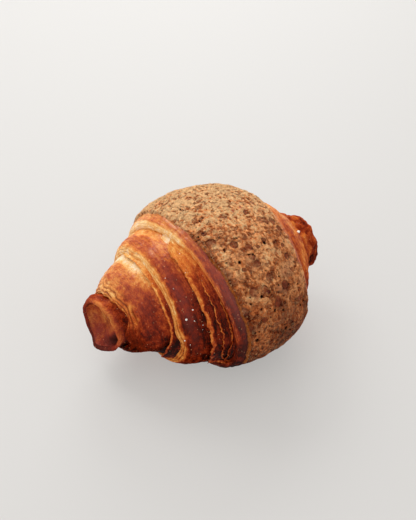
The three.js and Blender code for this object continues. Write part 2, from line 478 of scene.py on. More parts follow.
def ringwise(seed, x, angle, along, around, octaves=2):
    """Wrinkles that follow the rings: hills along long and around wide, matched up where the ring
    closes."""
    across = WRINKLE_CIRCLE * np.cos(angle) / around
    upward = WRINKLE_CIRCLE * np.sin(angle) / around
    return rough(seed, x / along, across, upward, 1.0, octaves)


def by_station(values, angle):
    """A value that is given at the four stations round the roll and runs evenly between them."""
    return np.interp(np.degrees(angle), STATIONS, values, period=360.0)


def grooves(arc, x, angle, seed, pitch):
    """How deep in a groove between two cut layers a point is, from 0 to 1. The distance arc down the face
    is counted off in layers of about pitch, which drift with the angle; each layer is a rounded rib with a
    narrow bell-shaped groove, which closes here and there."""
    count = arc / pitch + 0.5 * ringwise(seed, x / 6.0, angle, 1.0, 13.0)
    groove = hill(count - np.floor(count), 0.5, 0.2)
    return groove * ease(ringwise(seed + 9, x, angle, 3.0, 12.0), -0.8, -0.1)


def turn_rings(spec):
    """Rings of a whole turn from pole to pole: round the left lip's curl, along the skin, and round the
    right lip's curl. A lip's ring lies out from the crest by lip times the sine of its turn, and down by
    rise times 1 minus the cosine. Returns x, depth, shrink, and the distances down the left and down the
    right face, each as a grid, negative on the skin side of the crest."""
    left, right = spec["left"], spec["right"]
    seen_left, seen_right = spec["seen"]
    wave = ringwise(11, left["crest"], ANGLE, 30.0, 22.0)
    other_wave = ringwise(17, right["crest"] + 90.0, ANGLE, 30.0, 22.0)
    bend = ringwise(23, left["crest"] * 3.0, ANGLE, 30.0, 30.0)
    crest_l = left["crest"] - left["lean"] * COS + UNEVEN["left_crest"] * bend
    crest_r = right["crest"] - right["lean"] * COS + UNEVEN["right_crest"] * other_wave
    at_back = 1.0 + left["back_more"] * ease(COS, -0.3, 0.4)
    lip_l = left["lip"] * (1.0 + UNEVEN["left_lip"] * wave) * at_back
    lip_r = right["lip"] * (1.0 + UNEVEN["right_lip"] * other_wave)
    rise_l = left["rise"] * (1.0 + UNEVEN["left_rise"] * other_wave)
    rise_r = right["rise"] * (1.0 + UNEVEN["right_rise"] * wave)
    rings = Rings()
    for shrink in (0.0, POLE_SHARE):
        foot = mix(left["crest"], crest_l - lip_l * np.sin(CURL), shrink)
        rings.add(foot, 0.0, shrink, FAR, -FAR)
    for turned in np.linspace(CURL, 0.0, FACE_ROWS, endpoint=False):
        arc = turned * (lip_l + rise_l) / 2.0
        rings.add(crest_l - lip_l * np.sin(turned), rise_l * (1 - np.cos(turned)), 1.0, arc, -FAR)
    skin = [crest_l + s for s in np.arange(0.0, seen_left, SKIN_ROW_STEP)]
    skin += [mix(crest_l + seen_left, crest_r - seen_right, t) for t in np.linspace(0, 1, 8)[1:-1]]
    skin += [crest_r - s for s in np.arange(0.0, seen_right, SKIN_ROW_STEP)[::-1]]
    for at in skin:
        sunk = ease(at, crest_l, crest_l + TUCK_RUN) * (1 - ease(at, crest_r - TUCK_RUN, crest_r))
        rings.add(at, spec["tuck"] * sunk, 1.0, crest_l - at, at - crest_r)
    for turned in np.linspace(0.0, CURL, FACE_ROWS // 2 + 1)[1:]:
        arc = turned * (lip_r + rise_r) / 2.0
        rings.add(crest_r + lip_r * np.sin(turned), rise_r * (1 - np.cos(turned)), 1.0, -FAR, arc)
    for shrink in (POLE_SHARE, 0.0):
        foot = mix(right["crest"], crest_r + lip_r * np.sin(CURL), shrink)
        rings.add(foot, 0.0, shrink, -FAR, FAR)
    return rings.grids()


def dough_turn(name, spec, material):
    """One rolled turn: two curled lips with their cut layers showing, and a wrinkled skin between them. The
    skin rises by fine wrinkles, broad swells and small blisters, and the faces sink at the grooves between
    their layers."""
    seed = spec["seed"]
    x, depth, shrink, down_l, down_r = turn_rings(spec)
    angle = np.broadcast_to(ANGLE, x.shape)
    p = roll_point(x, angle, depth, shrink)
    on_l, on_r = ease(down_l, 0.2, 1.4), ease(down_r, 0.2, 1.4)
    groove_l = grooves(down_l, x, angle, seed, spec["pitch"]) * by_station(spec["layers"], angle)
    groove_r = grooves(down_r, x, angle, seed + 40, spec["pitch"])
    groove = groove_l * on_l + groove_r * on_r
    fine = ringwise(seed + 3, x, angle, 1.3, 9.0, 3)
    skin = 1.0 - np.maximum(on_l, on_r)
    on_skin = SKIN_HEIGHT["fine"] * fine + SKIN_HEIGHT["broad"] * swell(seed + 5, p, 14.0)
    blister = np.maximum(swell(seed + 7, p, 2.4), 0.0)
    height = SKIN_HEIGHT["blister"] * skin * blister - GROOVE_DEPTH * groove
    height = height + skin * on_skin + (1 - skin) * SKIN_HEIGHT["fine_on_face"] * fine
    if spec is INNER:
        pocket = hill(x, POCKET["x"], POCKET["wide"]) * hill(DEGREES, POCKET["angle"], POCKET["tall"])
        trim = hill(DEGREES, TRIM["angle"], TRIM["tall"]) * ease(x, *TRIM["fade"])
        height = height - POCKET["deep"] * pocket - TRIM["deep"] * trim
    p = rested(raised(p, height * ease(shrink, 0.9, 1.0)), spec["floor"])
    marks = dough_marks(spec, p, x, angle, down_l, down_r, fine)
    ring_mesh(name, p, x, dict(marks, groove=groove), material)


def dough_marks(spec, p, x, angle, down_l, down_r, fine):
    """Numbers for the dough's colour: how brown it baked, with painted light and shade in that brown, how
    strong the painted plum sheen along the crest is, which is a painted reflection, and how much it shines.
    The brown runs from the face's over the crest's to the bed's, varies in patches and flecks, and deepens
    low down, which is painted shade."""
    seed, bake = spec["seed"], spec["bake"]
    patch = swell(seed + 21, p, 10.0, 3)
    flecks = swell(seed + 27, p, 2.2)
    down = down_l + 0.7 * ringwise(seed + 31, x, angle, 6.0, 8.0)
    on_skin = ease(-down, -1.6, 0.4)
    to_bed = ease(-down, *spec["golden"])
    brown = mix(by_station(bake["crest"], angle), by_station(bake["bed"], angle), to_bed)
    brown = mix(by_station(bake["face"], angle), brown, on_skin)
    # The right side's brown is paler on top: painted light.
    right_side = 0.53 - 0.06 * np.sin(angle) + 0.12 * patch
    brown = mix(brown, right_side, ease(down_r, -9.0, 0.0) * on_skin)
    # Browner low down, near the tray: painted shade.
    low = 1.0 - ease(p[..., 2], 1.0, 16.0)
    brown = brown + 0.09 * patch + 0.08 * fine + 0.08 * flecks + 0.12 * low
    if spec is MIDDLE:
        # Painted shade on the middle turn's bed under the torn skins.
        shaded = ease(x, *SHADED_BED["start"]) * (1 - ease(x, *SHADED_BED["end"]))
        brown = brown + SHADED_BED["brown"] * shaded * by_station(SHADED_BED["by_angle"], angle)
    # The plum tone along the crest is a painted sheen, a painted reflection on the egg wash.
    crest = hill(down, -2.6, spec["painted_plum"]) * on_skin * by_station(spec["painted_sheen"], angle)
    return dict(brown=brown, crest=crest, gloss=by_station(spec["gloss"], angle))


# ---- Materials ----------------------------------------------------------------------------------


def tint(r, g, b):
    """A colour given as seen on a screen, turned into the light it stands for."""
    c = np.array([r, g, b]) / 255.0
    c = np.where(c <= 0.04045, c / 12.92, ((c + 0.055) / 1.055) ** 2.4)
    return (*[float(v) for v in c], 1.0)


DOUGH_BROWNS = [
    (0.00, tint(252, 226, 190)),
    (0.16, tint(246, 194, 120)),
    (0.32, tint(232, 150, 72)),
    (0.48, tint(208, 110, 46)),
    (0.62, tint(174, 72, 30)),
    (0.76, tint(132, 40, 12)),
    (0.90, tint(86, 18, 2)),
    (1.00, tint(36, 8, 4)),
]
# Painted shade in the grooves between the cut layers.
PAINTED_GROOVE_SHADE = [(0.1, tint(206, 104, 30)), (0.45, tint(110, 34, 10))]
# The colour of the painted plum sheen along the crests, a painted reflection.
PAINTED_SHEEN_PLUM = tint(150, 66, 56)
DOUGH_SPECK = tint(226, 164, 118)
CRUST_BROWNS = [
    (0.00, tint(255, 202, 145)),
    (0.22, tint(255, 174, 112)),
    (0.46, tint(214, 124, 70)),
    (0.72, tint(150, 72, 36)),
    (1.00, tint(74, 20, 4)),
]
CRUST_DULL = tint(212, 150, 110)
CRUST_HOLLOW = tint(156, 76, 42)
# The chalky bloom's colour; on the crown it also stands for a painted highlight.
CHALK_AND_HIGHLIGHT = tint(255, 206, 153)
CRUST_BEAD = tint(140, 60, 28)
CRUST_BUBBLE = tint(140, 60, 34)
CRUST_RIM = tint(70, 20, 10)
# Open pits are painted nearly black: painted shade in them.
PAINTED_PIT_SHADE = tint(36, 16, 10)
CRUST_EDGE = tint(206, 112, 44)
SUGAR_WHITES = [(0.3, tint(232, 226, 216)), (0.7, tint(250, 248, 244))]


class Nodes:
    """A short way to lay out a material's nodes."""

    def __init__(self, tree):
        self.tree = tree

    def add(self, kind, **settings):
        """A new node with these settings."""
        node = self.tree.nodes.new(kind)
        for name, value in settings.items():
            setattr(node, name, value)
        return node

    def feed(self, socket, value):
        """Links another node's output to a socket, or sets the socket to a plain value."""
        if isinstance(value, bpy.types.NodeSocket):
            self.tree.links.new(value, socket)
        else:
            socket.default_value = value

    def maths(self, operation, a, b=0.5):
        """One sum, product or the like of two numbers."""
        node = self.add("ShaderNodeMath", operation=operation)
        self.feed(node.inputs[0], a)
        self.feed(node.inputs[1], b)
        return node.outputs[0]

    def times(self, a, b):
        """The product of two numbers."""
        return self.maths("MULTIPLY", a, b)

    def total(self, first, *others):
        """The first number plus each of the others at its own strength."""
        for value, strength in others:
            first = self.maths("ADD", first, self.times(value, strength))
        return first

    def mark(self, name):
        """A number that the mesh carries at each point."""
        return self.add("ShaderNodeAttribute", attribute_name=name).outputs["Fac"]

    def span(self, value, low, high, to_low=0.0, to_high=1.0):
        """The value's stretch from low to high, mapped to another stretch and held at its ends."""
        node = self.add("ShaderNodeMapRange", clamp=True)
        for socket, given in zip(node.inputs, (value, low, high, to_low, to_high)):
            self.feed(socket, given)
        return node.outputs[0]

    def noise(self, at, scale, detail=3.0, roughness=0.55, distortion=0.0):
        """Soft random clouds from 0 to 1, so many to the metre."""
        node = self.add("ShaderNodeTexNoise")
        self.feed(node.inputs["Vector"], at)
        self.feed(node.inputs["Scale"], scale)
        self.feed(node.inputs["Detail"], detail)
        self.feed(node.inputs["Roughness"], roughness)
        self.feed(node.inputs["Distortion"], distortion)
        return node.outputs["Fac"]

    def cells(self, at, scale):
        """The distance to the nearest of a random scatter of points."""
        node = self.add("ShaderNodeTexVoronoi", feature="F1")
        self.feed(node.inputs["Vector"], at)
        self.feed(node.inputs["Scale"], scale)
        return node.outputs["Distance"]

    def ramp(self, value, stops):
        """Colours run through by a number, each given with its place."""
        node = self.add("ShaderNodeValToRGB")
        band = node.color_ramp
        while len(band.elements) < len(stops):
            band.elements.new(0.5)
        for element, (place, colour) in zip(band.elements, stops):
            element.position, element.color = place, colour
        self.feed(node.inputs[0], value)
        return node.outputs["Color"]

    def stain(self, colour, share, stained):
        """The colour, turned towards a stained one by a share from 0 to 1."""
        node = self.add("ShaderNodeMix", data_type="RGBA", blend_type="MIX", clamp_factor=True)
        self.feed(node.inputs[0], share)
        self.feed(node.inputs[6], colour)
        self.feed(node.inputs[7], stained)
        return node.outputs[2]

    def place(self):
        """The point's own place on the piece, in metres."""
        return self.add("ShaderNodeTexCoord").outputs["Object"]

    def grain(self, size=1.0):
        """The outputs of the shared baked grain, so many times finer."""
        node = self.add("ShaderNodeGroup")
        node.node_tree = BAKED_GRAIN
        node.inputs["Size"].default_value = size
        return node.outputs

    def grained(self, brown, fine, strengths):
        """The brown with each named grain added at its strength, half of it up and half down."""
        for part, strength in strengths.items():
            spread = self.span(fine[part], 0.0, 1.0, -strength / 2, strength / 2)
            brown = self.maths("ADD", brown, spread)
        return brown

    def bump(self, shader, height, strength, distance):
        """Tilts the shader's surface as relief of that height would."""
        node = self.add("ShaderNodeBump")
        node.inputs["Strength"].default_value = strength
        node.inputs["Distance"].default_value = distance
        self.feed(node.inputs["Height"], height)
        self.feed(shader.inputs["Normal"], node.outputs[0])


def baked_grain():
    """The fine grain that every baked surface shares: mottling, a finer grain, streaks and finer fibres
    drawn out round the roll, and specks that are sown in patches."""
    tree = bpy.data.node_groups.new("baked_grain", "ShaderNodeTree")
    scale = tree.interface.new_socket("Size", in_out="INPUT", socket_type="NodeSocketFloat")
    scale.default_value = 1.0
    for name in ("Mottle", "Grain", "Streak", "Fibre", "Specks"):
        tree.interface.new_socket(name, in_out="OUTPUT", socket_type="NodeSocketFloat")
    n = Nodes(tree)
    given, out = n.add("NodeGroupInput"), n.add("NodeGroupOutput")
    at = n.place()
    size = given.outputs["Size"]
    roll = n.add("ShaderNodeAttribute", attribute_name="roll").outputs["Vector"]
    drawn = n.add("ShaderNodeVectorMath", operation="MULTIPLY")
    n.feed(drawn.inputs[0], roll)
    drawn.inputs[1].default_value = (1.0, 0.16, 0.16)
    mottle = n.noise(at, n.times(size, 330.0), 5.0, 0.62)
    grain = n.noise(at, n.times(size, 1500.0), 3.0, 0.65)
    streak = n.noise(drawn.outputs[0], n.times(size, 620.0), 3.0, 0.6, 0.4)
    fibre = n.noise(drawn.outputs[0], n.times(size, 2300.0), 2.0, 0.6, 0.3)
    speck = n.cells(at, n.times(size, 520.0))
    sown = n.span(n.noise(at, 160.0, 2.0), 0.42, 0.6)
    n.feed(out.inputs["Mottle"], n.span(mottle, 0.28, 0.72))
    n.feed(out.inputs["Grain"], n.span(grain, 0.25, 0.75))
    n.feed(out.inputs["Streak"], n.span(streak, 0.3, 0.7))
    n.feed(out.inputs["Fibre"], n.span(fibre, 0.3, 0.7))
    n.feed(out.inputs["Specks"], n.times(n.span(speck, 0.17, 0.09), sown))
    return tree


BAKED_GRAIN = baked_grain()


def new_material(name):
    """An empty material: its nodes and its one shader."""
    material = bpy.data.materials.new(name)
    material.use_nodes = True
    tree = material.node_tree
    tree.nodes.clear()
    n = Nodes(tree)
    shader = n.add("ShaderNodeBsdfPrincipled")
    out = n.add("ShaderNodeOutputMaterial")
    tree.links.new(shader.outputs[0], out.inputs[0])
    return material, n, shader


def dough_material():
    """Egg-washed laminated dough: golden to dark brown by how it baked, with painted light and shade in
    that brown, a painted plum sheen along the crests that is a painted reflection, painted shade in the
    grooves between the cut layers, with pale specks and a glaze where the egg wash lies."""
    material, n, shader = new_material("baked_dough")
    fine = n.grain()
    strengths = dict(Mottle=0.15, Streak=0.17, Fibre=0.14, Grain=0.19)
    brown = n.grained(n.mark("brown"), fine, strengths)
    colour = n.ramp(brown, DOUGH_BROWNS)
    # A painted plum sheen, a painted reflection, where the mesh marks the crest.
    painted_plum = n.times(n.mark("crest"), n.span(fine["Mottle"], 0.0, 1.0, 0.35, 0.85))
    colour = n.stain(colour, painted_plum, PAINTED_SHEEN_PLUM)
    # Painted shade in the grooves between the cut layers, darker where the dough is browner.
    colour = n.stain(colour, n.times(n.mark("groove"), 0.9), n.ramp(brown, PAINTED_GROOVE_SHADE))
    colour = n.stain(colour, n.times(fine["Specks"], 0.75), DOUGH_SPECK)
    n.feed(shader.inputs["Base Color"], colour)
    n.feed(shader.inputs["Roughness"], n.span(fine["Grain"], 0.0, 1.0, 0.36, 0.64))
    glaze = n.times(n.mark("gloss"), n.span(fine["Grain"], 0.0, 1.0, 0.3, 0.9))
    n.feed(shader.inputs["Coat Weight"], glaze)
    shader.inputs["Coat Roughness"].default_value = 0.26
    shader.inputs["Specular IOR Level"].default_value = 0.0
    drawn = [(fine["Streak"], 1.0), (fine["Fibre"], 0.35)]
    relief = n.total(fine["Mottle"], *drawn, (fine["Grain"], 0.35), (fine["Specks"], 0.5))
    n.bump(shader, relief, strength=0.85, distance=0.0007)
    return material


def crust_material():
    """Baked almond paste: tan to brown, with painted light and shade in that brown, a dull cast and dark
    hollows here and there, a chalky bloom along fine worm-like wrinkles that on the crown is also a painted
    highlight, brown skins with darker rims over its bubbles, open pits painted nearly black as painted
    shade, and a golden left edge."""
    material, n, shader = new_material("almond_crust")
    fine = n.grain(1.2)
    at = n.place()
    brown = n.grained(n.mark("brown"), fine, dict(Mottle=0.50, Grain=0.24, Streak=0.24))
    bent = n.noise(at, 430.0, 2.0, 0.5, 1.4)
    worm = n.span(n.maths("ABSOLUTE", n.maths("SUBTRACT", bent, 0.5)), 0.05, 0.01)
    hollow = n.span(n.noise(at, 420.0, 4.0, 0.62, 0.8), 0.55, 0.60)
    ragged = n.span(n.noise(at, 900.0, 3.0, 0.6), 0.25, 0.75, -0.16, 0.16)
    blister = n.maths("ADD", n.mark("blister"), ragged)
    bead = n.maths("ADD", n.mark("bead"), ragged)
    prick = n.maths("ADD", n.mark("prick"), ragged)
    bubble = n.span(blister, 1.0, 0.86)
    rim = n.times(n.span(blister, 0.72, 0.94), n.span(blister, 1.12, 1.0))
    rim = n.times(rim, n.span(n.noise(at, 260.0, 1.0), 0.42, 0.58, 0.35, 1.0))
    pit = n.span(prick, 1.0, 0.7)
    burst = n.span(n.noise(at, 130.0, 0.0), 0.38, 0.52, 0.45, 1.0)
    dull = n.times(n.mark("grey"), n.span(fine["Mottle"], 0.2, 0.7, 0.5, 1.0))
    colour = n.stain(n.ramp(brown, CRUST_BROWNS), dull, CRUST_DULL)
    colour = n.stain(colour, n.times(hollow, 0.8), CRUST_HOLLOW)
    # Chalky bloom on the wrinkles, which on the crown is also a painted highlight.
    colour = n.stain(colour, n.times(worm, n.mark("bloom_and_highlight")), CHALK_AND_HIGHLIGHT)
    colour = n.stain(colour, n.times(n.span(bead, 1.02, 0.8), 0.55), CRUST_BEAD)
    colour = n.stain(colour, n.times(n.times(bubble, burst), 0.8), CRUST_BUBBLE)
    colour = n.stain(colour, n.times(n.times(rim, burst), 0.95), CRUST_RIM)
    # Open pits painted nearly black: painted shade in the pits.
    colour = n.stain(colour, n.times(pit, n.mark("open")), PAINTED_PIT_SHADE)
    colour = n.stain(colour, n.times(n.mark("edge"), 0.8), CRUST_EDGE)
    n.feed(shader.inputs["Base Color"], colour)
    n.feed(shader.inputs["Roughness"], n.span(fine["Grain"], 0.0, 1.0, 0.42, 0.7))
    n.feed(shader.inputs["Coat Weight"], n.times(bubble, 0.12))
    shader.inputs["Coat Roughness"].default_value = 0.22
    shader.inputs["Specular IOR Level"].default_value = 0.03
    relief = n.total(
        fine["Mottle"], (fine["Grain"], 0.6), (worm, 0.8), (hollow, -0.6), (pit, -1.0), (rim, 0.5)
    )
    n.bump(shader, relief, strength=1.0, distance=0.0010)
    return material


def sugar_material():
    """Coarse sugar: nearly white and a little glossy."""
    material, n, shader = new_material("sugar")
    fine = n.grain(2.0)
    n.feed(shader.inputs["Base Color"], n.ramp(fine["Mottle"], SUGAR_WHITES))
    n.feed(shader.inputs["Roughness"], n.span(fine["Grain"], 0.2, 0.8, 0.3, 0.5))
    return material


# ---- The almond crust ---------------------------------------------------------------------------

# Round spots on the crust: their seed and number, the angles and the stretch of the roll they are strewn
# over, their smallest and largest radius, and how strongly the sizes lean to the small end.
PITS = dict(seed=65, count=20, angles=(112, 178), along=(-2, 33), radii=(0.5, 1.15), skew=1.3)
BUBBLES = dict(seed=5, count=34, angles=(88, 168), along=(-6, 33), radii=(0.9, 2.3), skew=1.3)
BEADS = dict(seed=8, count=170, angles=(-20, 200), along=(-9, 36), radii=(0.35, 1.0), skew=1.6)
PRICKS = dict(seed=6, count=330, angles=(-20, 205), along=(-9, 36), radii=(0.2, 0.75), skew=1.8)
FAR_OFF = 9.0  # the share of a radius that stands for no spot near
CRUST_ROWS, CRUST_EDGE_ROWS = 136, 12
LEFT_PART = 10.0  # the crust's left edge, where it is darker and golden, lies before this x
# Heights of the crust's relief: broad bulges, lumps, folds (more on the crown), crinkles, the rolled edge,
# and how deep the spots go as shares of their radius.
RELIEF = dict(bulge=0.4, lump=0.3, fold=0.35, crown_fold=0.55, crinkle=0.1, edge=0.25)
SPOT_DEPTH = dict(bubble=0.13, bead=0.14, prick=0.9)


def spots(kind):
    """A kind's spots, strewn evenly over the crust's surface: their centres and their radii."""
    rng = np.random.default_rng(kind["seed"])
    x = rng.uniform(*kind["along"], kind["count"])
    angle = np.radians(rng.uniform(*kind["angles"], kind["count"]))
    small, large = kind["radii"]
    radii = small + (large - small) * rng.uniform(0, 1, kind["count"]) ** kind["skew"]
    return roll_point(x, angle, -CRUST["proud"]), radii


def nearest_spots(p, kind):
    """For each grid point: the distance to the centre of the spot it is most inside, as a share of that
    spot's radius, and that radius."""
    best = np.full(p.shape[:-1], FAR_OFF)
    radius = np.ones(p.shape[:-1])
    for centre, size in zip(*spots(kind)):
        near = np.abs(p - centre).max(-1) < size * 2.2
        share = np.linalg.norm(p[near] - centre, axis=-1) / size
        closer = share < best[near]
        best[near] = np.where(closer, share, best[near])
        radius[near] = np.where(closer, size, radius[near])
    return best, radius


def crust_rings():
    """The crust's rings from its left edge to its right. Each edge is rolled over a small circle by rather
    more than a quarter turn, which tucks it into the dough. Returns x, depth, shrink and the distance in
    from the nearer edge."""
    edge, proud = CRUST["edge"], CRUST["proud"]
    thick = proud + CRUST["sunk"]
    left = CRUST["left"] - CRUST["left_lean"] * COS + 0.5 * ringwise(71, 5.0, ANGLE, 20.0, 7.0, 3)
    right = CRUST["right"] + CRUST["right_lean"] * COS + ringwise(75, 50.0, ANGLE, 20.0, 8.0, 3)
    rings = Rings()

    def tucked(turned):
        """How deep the rolled edge lies after that much of its turn."""
        return -proud + thick / 2 * (1 - np.cos(turned))

    rings.add(CRUST["left"], 0.0, 0.0, -FAR_OFF)
    rings.add(CRUST["left"] + 2.0, 0.0, 0.6, -FAR_OFF)
    for t in np.linspace(0.0, 1.0, CRUST_EDGE_ROWS, endpoint=False):
        turned = CRUST["edge_turn"] * (1 - t)
        rings.add(left + edge - edge * np.sin(turned), tucked(turned), 1.0, -1 + t)
    for t in np.linspace(0.0, 1.0, CRUST_ROWS):
        at = mix(left + edge, right - edge, t)
        rings.add(at, -proud, 1.0, np.minimum(at - left, right - at))
    for t in np.linspace(0.0, 1.0, 9)[1:]:
        turned = CRUST["edge_turn"] * t
        rings.add(right - edge + edge * np.sin(turned), tucked(turned), 1.0, -t)
    rings.add(CRUST["right"] - 2.0, 0.0, 0.6, -FAR_OFF)
    rings.add(CRUST["right"], 0.0, 0.0, -FAR_OFF)
    return rings.grids()


def almond_crust(material):
    """The crust laps over the last turn: proud of the outline on top, curled in at its two edges, and sunk
    into the dough at its ends and underneath. Its height is a sum of bulges, lumps, sharp folds, fine
    crinkles and a low rise along its edges, less a shallow dish at each bubble and bead and a deep one at
    each open pit."""
    x, depth, shrink, inside = crust_rings()
    angle = np.broadcast_to(ANGLE, x.shape)
    turned = np.abs(round_from((CRUST["start"] + CRUST["stop"]) / 2))
    half = (CRUST["stop"] - CRUST["start"]) / 2
    under = ease(turned + 6.5 * ringwise(78, x, angle, 6.0, 9.0), half - 6.0, half + 3.0)
    p = roll_point(x, angle, mix(depth, CRUST["sunk"], under), shrink)
    shown = ease(shrink, 0.9, 1.0) * (1 - under)
    degrees = np.broadcast_to(np.where(DEGREES > 270.0, DEGREES - 360.0, DEGREES), x.shape)
    crown = 1.0 - ease(degrees, 70.0, 125.0)

    warp = 1.2 * swell(84, p, 3.0)
    folds = 1.0 - np.abs(swell(86, p + np.stack([warp, -warp, warp], -1), 2.6, 3))
    crinkle = swell(90, p, 1.3, 3)
    pits, _ = nearest_spots(p, PITS)
    bubbles, bubble_radius = nearest_spots(p, BUBBLES)
    beads, bead_radius = nearest_spots(p, BEADS)
    pricks, prick_radius = nearest_spots(p, PRICKS)
    opened = ease(swell(99, p, 3.0) + 0.5 * ease(degrees, 110.0, 180.0), 0.1, 0.5)
    opened = np.maximum(opened, 1 - ease(pits, 1.0, 1.6))
    prick_radius = np.where(pits < pricks, 1.0, prick_radius)
    pricks = np.minimum(pricks, pits)
    height = RELIEF["bulge"] * swell(81, p, 12.0) + RELIEF["lump"] * swell(82, p, 5.0)
    height = height + (RELIEF["fold"] + RELIEF["crown_fold"] * crown) * (folds - 0.7)
    height = height + RELIEF["crinkle"] * crinkle
    height = height - SPOT_DEPTH["bubble"] * (1 - ease(bubbles, 0.7, 1.0)) * bubble_radius
    height = height - SPOT_DEPTH["bead"] * (1 - ease(beads, 0.6, 1.0)) * bead_radius
    height = height - SPOT_DEPTH["prick"] * (1 - ease(pricks, 0.5, 1.1)) * prick_radius * opened
    height = height + RELIEF["edge"] * hill(inside, 0.8, 0.9)
    marks = dict(
        brown=crust_brown(p, x, degrees, inside, crown, folds, crinkle),
        bloom_and_highlight=crust_bloom_and_highlight(p, inside, crown, crinkle),
        grey=0.5 * ease(swell(98, p, 8.0), 0.1, 0.5) * hill(degrees, 140.0, 28.0),
        blister=np.minimum(bubbles, 2.0),
        bead=np.minimum(beads, 2.0),
        prick=np.minimum(pricks, 2.0),
        open=opened,
        edge=hill(inside, 0.2, 0.7) * (x < LEFT_PART) * ease(degrees, 95.0, 130.0),
    )
    ring_mesh("almond_crust", rested(raised(p, height * shown), 0.4), x, marks, material)


def crust_brown(p, x, degrees, inside, crown, folds, crinkle):
    """How brown the crust is: pale on top and darker to the front and lower down, which is painted light
    and shade, paler on its folds and darker between them, most on the crown, which is partly the folds'
    colour and partly painted highlight and shade, darker in blotches, along its left edge, and in fine
    crinkles low at the front."""
    # Pale towards the back and top, darker to the front and lower down: painted light and shade.
    brown = -0.10 + 0.40 * ease(degrees, 60.0, 118.0) + 0.26 * ease(degrees, 125.0, 180.0)
    brown = brown + 0.10 * ease(-SIN, -0.75, 0.2) + 0.22 * swell(96, p, 11.0)
    # Paler on the folds and darker between them, most on the crown: partly the folds' colour, partly
    # painted highlight and shade.
    brown = brown - 1.2 * (0.25 + crown) * (folds - 0.72)
    left_edge = (1 - ease(inside, 1.5, 5.0)) * (x < LEFT_PART) * hill(degrees, 125.0, 36.0)
    brown = brown + 0.5 * left_edge + 0.36 * ease(swell(95, p, 5.0, 3), 0.3, 0.55)
    return brown + 0.3 * ease(degrees, 150.0, 200.0) * ease(crinkle, 0.0, 0.6)


def crust_bloom_and_highlight(p, inside, crown, crinkle):
    """How chalky the wrinkles are: most on the crown, where the bloom is also a painted highlight, in
    patches, and along the edge.
    """
    bloom_and_highlight = 0.26 + 0.74 * crown * ease(swell(97, p, 9.0), -0.5, 0.3)
    return bloom_and_highlight + 0.5 * hill(inside, 1.2, 0.8) * ease(crinkle, 0.0, 0.4)


# ---- The tips -----------------------------------------------------------------------------------

BOWL_ROWS, RIM_ROWS, END_ROWS, CAP_ROWS = 44, 14, 25, 20
SEEN_LENGTH = 17.0  # the rows are close together this far past the mouth
END_LENGTH = 12.0  # and again this far before the right tip's rounded end
COVERED_LEFT, COVERED_RIGHT = (-56.0, -49.5), (40.0, 52.0)  # where the turns start and stop covering it
RIM, INSIDE, FAR_PAST_RIM = 0.0, -2.0, 60.0  # the rim distance on the rim, amid the mouth and far right


def tip_rings():
    """Rings from the floor of the open left tip, over its rim, along the roll and round the closed right
    tip. The bowl is deepest in the middle, as 1 minus the seventh power of the share of its radius, and
    shallower to the front. The rim is a half circle across the wall. The right tip is rounded by a sine
    along it and the power 0.8 of the cosine across it. Returns x, depth, shrink, and the distance past the
    rim, which runs from -2 to -1 in the bowl."""
    corner = TIP["corner"] * hill(round_from(TIP["corner_at"]), 0.0, 42.0)
    mouth = TIP["mouth"] - TIP["slant"] * COS - corner + 0.7 * ringwise(51, -60.0, ANGLE, 9.0, 22.0)
    wall = TIP["wall"] * (1.0 + 0.2 * ringwise(52, -50.0, ANGLE, 9.0, 18.0, 1))
    inner_share = 1 - wall / half_width(mouth)
    rings = Rings()
    for s in np.linspace(0.0, 1.0, BOWL_ROWS):
        to_front = -s * (0.9 * COS + 0.4 * SIN)
        bowl = TIP["bowl"] * (1.0 - 0.25 * ease(to_front, -0.2, 0.8)) * (1 - s**7)
        bowl = bowl + 1.5 * hill(s, 0.80, 0.15) * hill(DEGREES, 218.0, 24.0)
        rings.add(mix(TIP["mouth"], mouth + wall / 2, s) + bowl, 0.0, inner_share * s, INSIDE + s)
    for share in np.linspace(0.08, 0.96, RIM_ROWS):
        a = np.pi * share
        rings.add(mouth + wall / 2 * (1 - np.sin(a)), wall / 2 * (1 + np.cos(a)), 1.0, RIM)
    for s in np.concatenate([np.arange(0.3, SEEN_LENGTH, 0.36), np.linspace(17.5, 92.0, 9)]):
        at = mouth + wall / 2 + s
        from_x, to_x = COVERED_LEFT[0] + 3.0 * ease(COS, 0.0, 0.6), COVERED_LEFT[1]
        covered = ease(at, from_x, to_x) * (1 - ease(at, *COVERED_RIGHT))
        rings.add(at, TIP["sunk"] * covered, 1.0, s)
    right = TIP["right"] - TIP["round"]
    for t in np.linspace(0.0, 1.0, END_ROWS, endpoint=False):
        at = mix(right - END_LENGTH, right, t)
        rings.add(at, TIP["sunk"] * (1 - ease(at, *COVERED_RIGHT)), 1.0, FAR_PAST_RIM)
    for a in np.linspace(0.0, np.pi / 2, CAP_ROWS):
        rings.add(right + TIP["round"] * np.sin(a), 0.0, np.cos(a) ** 0.8, FAR_PAST_RIM)
    return rings.grids()


